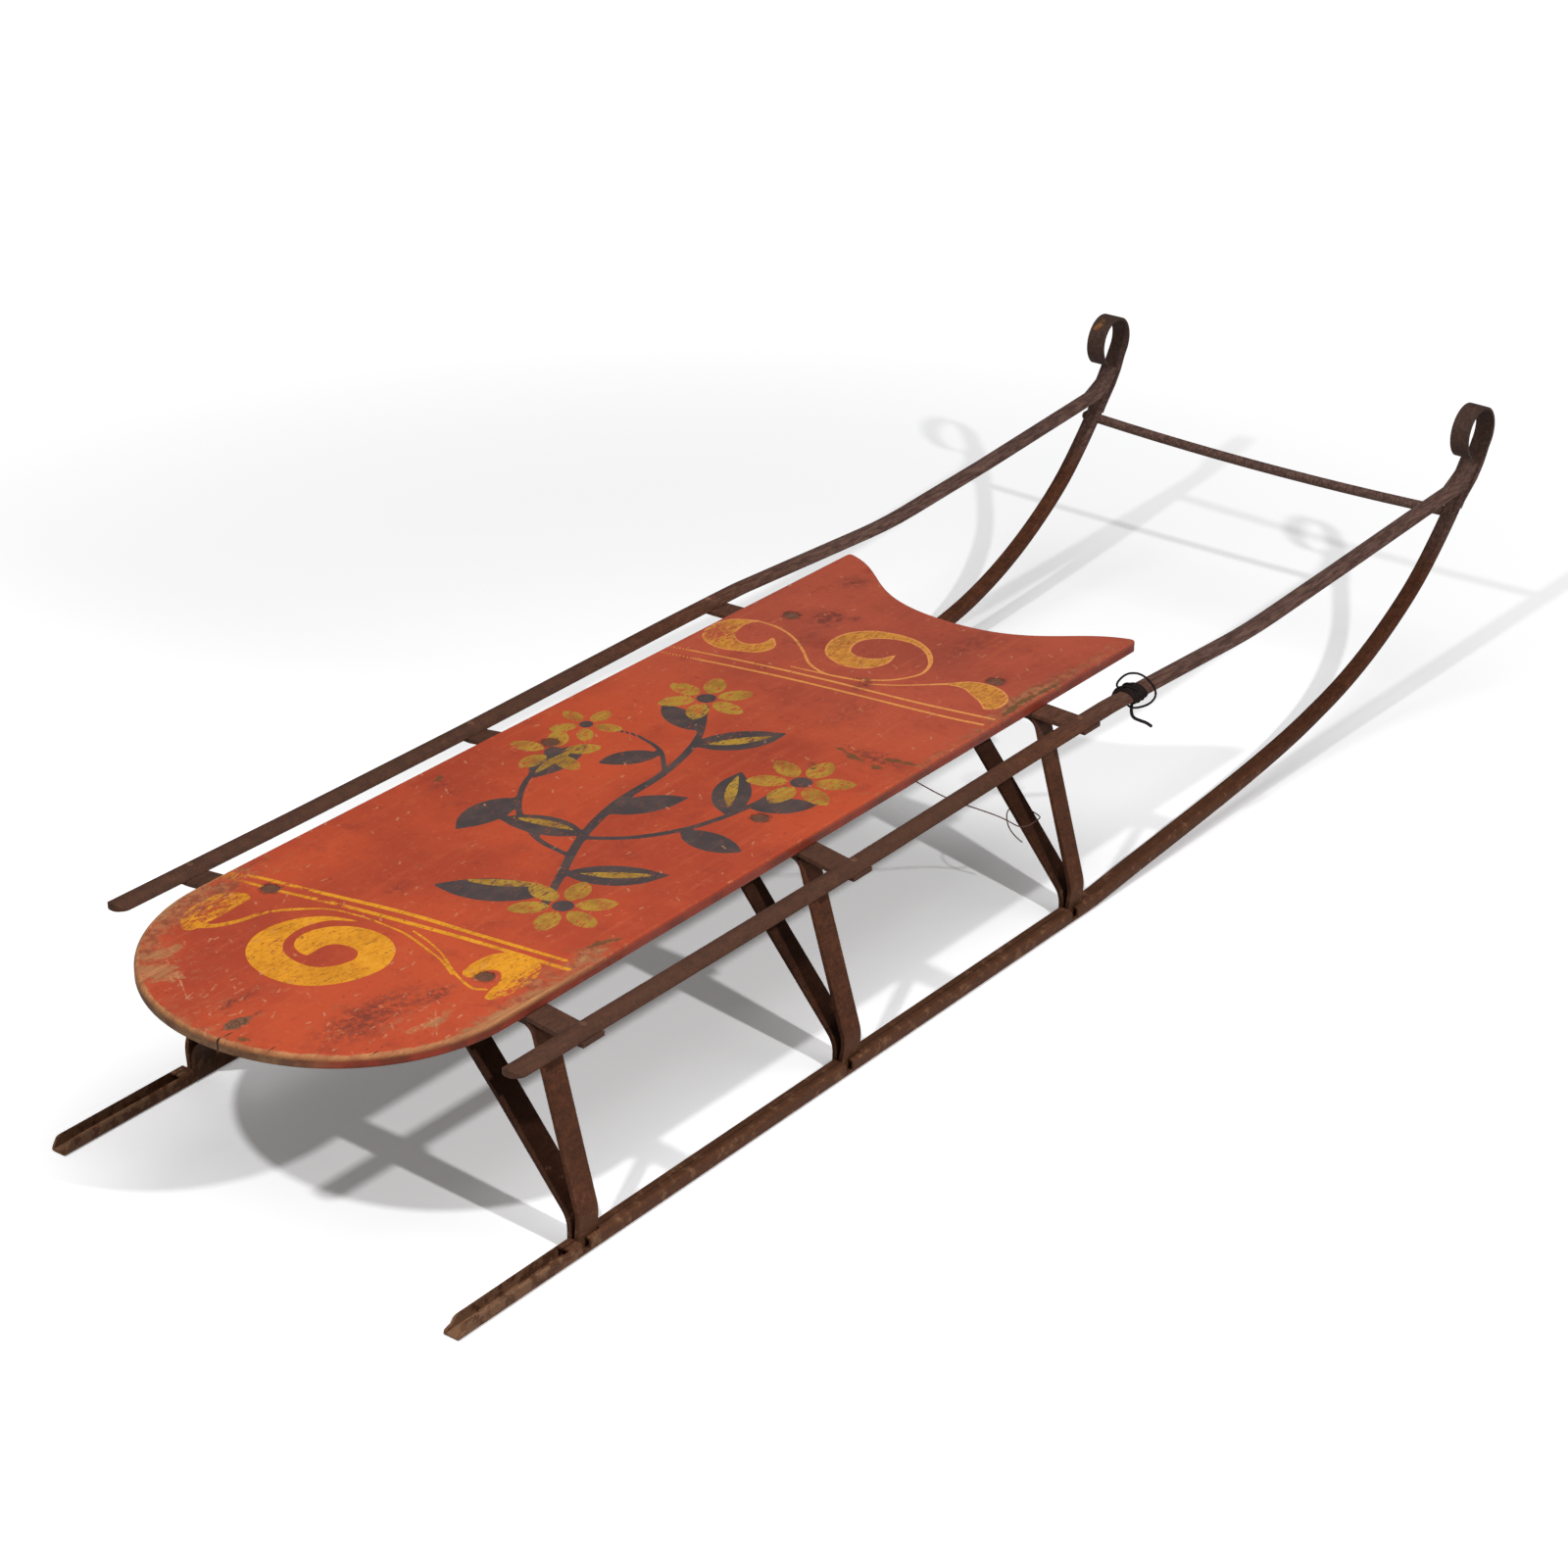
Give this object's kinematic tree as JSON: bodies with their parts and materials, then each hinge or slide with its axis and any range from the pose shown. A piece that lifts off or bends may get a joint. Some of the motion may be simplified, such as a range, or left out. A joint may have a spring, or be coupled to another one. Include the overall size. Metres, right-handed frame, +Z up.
{
  "type": "child sled",
  "caption": "Low child's sled: painted wood board on bent strap knees, hollow side rails and steel runners that sweep up to round curls joined by a cross rod.",
  "frame": {"origin": "middle of the sled's length and width, on the floor under the runners", "axes": "+X towards the curls at the front, +Y to the rider's left, +Z up"},
  "size_m": [1.2599, 0.3604, 0.2261],
  "materials": {
    "deck_paint": "old satin paint, worn at the edges",
    "rusty_steel": "dark brown rust patina",
    "old_cord": "dirty tarred cord",
    "bolt_steel": "dark rusted heads"
  },
  "bodies": {
    "root": {"deck": "deck_paint", "crossbar_rear": "rusty_steel", "crossbar_middle": "rusty_steel", "crossbar_front": "rusty_steel", "deck_bolts_rear": "bolt_steel", "deck_bolts_middle": "bolt_steel", "deck_bolts_front": "bolt_steel", "runner_left": "rusty_steel", "runner_right": "rusty_steel", "rail_left": "rusty_steel", "rail_right": "rusty_steel", "leg_left_rear": "rusty_steel", "brace_left_rear": "rusty_steel", "leg_left_middle": "rusty_steel", "brace_left_middle": "rusty_steel", "leg_left_front": "rusty_steel", "brace_left_front": "rusty_steel", "leg_right_rear": "rusty_steel", "brace_right_rear": "rusty_steel", "leg_right_middle": "rusty_steel", "brace_right_middle": "rusty_steel", "leg_right_front": "rusty_steel", "brace_right_front": "rusty_steel", "tow_rod": "rusty_steel", "binding": "old_cord", "binding_cord": "old_cord", "binding_tail": "old_cord", "hanging_wire": "rusty_steel"}
  },
  "joints": []
}
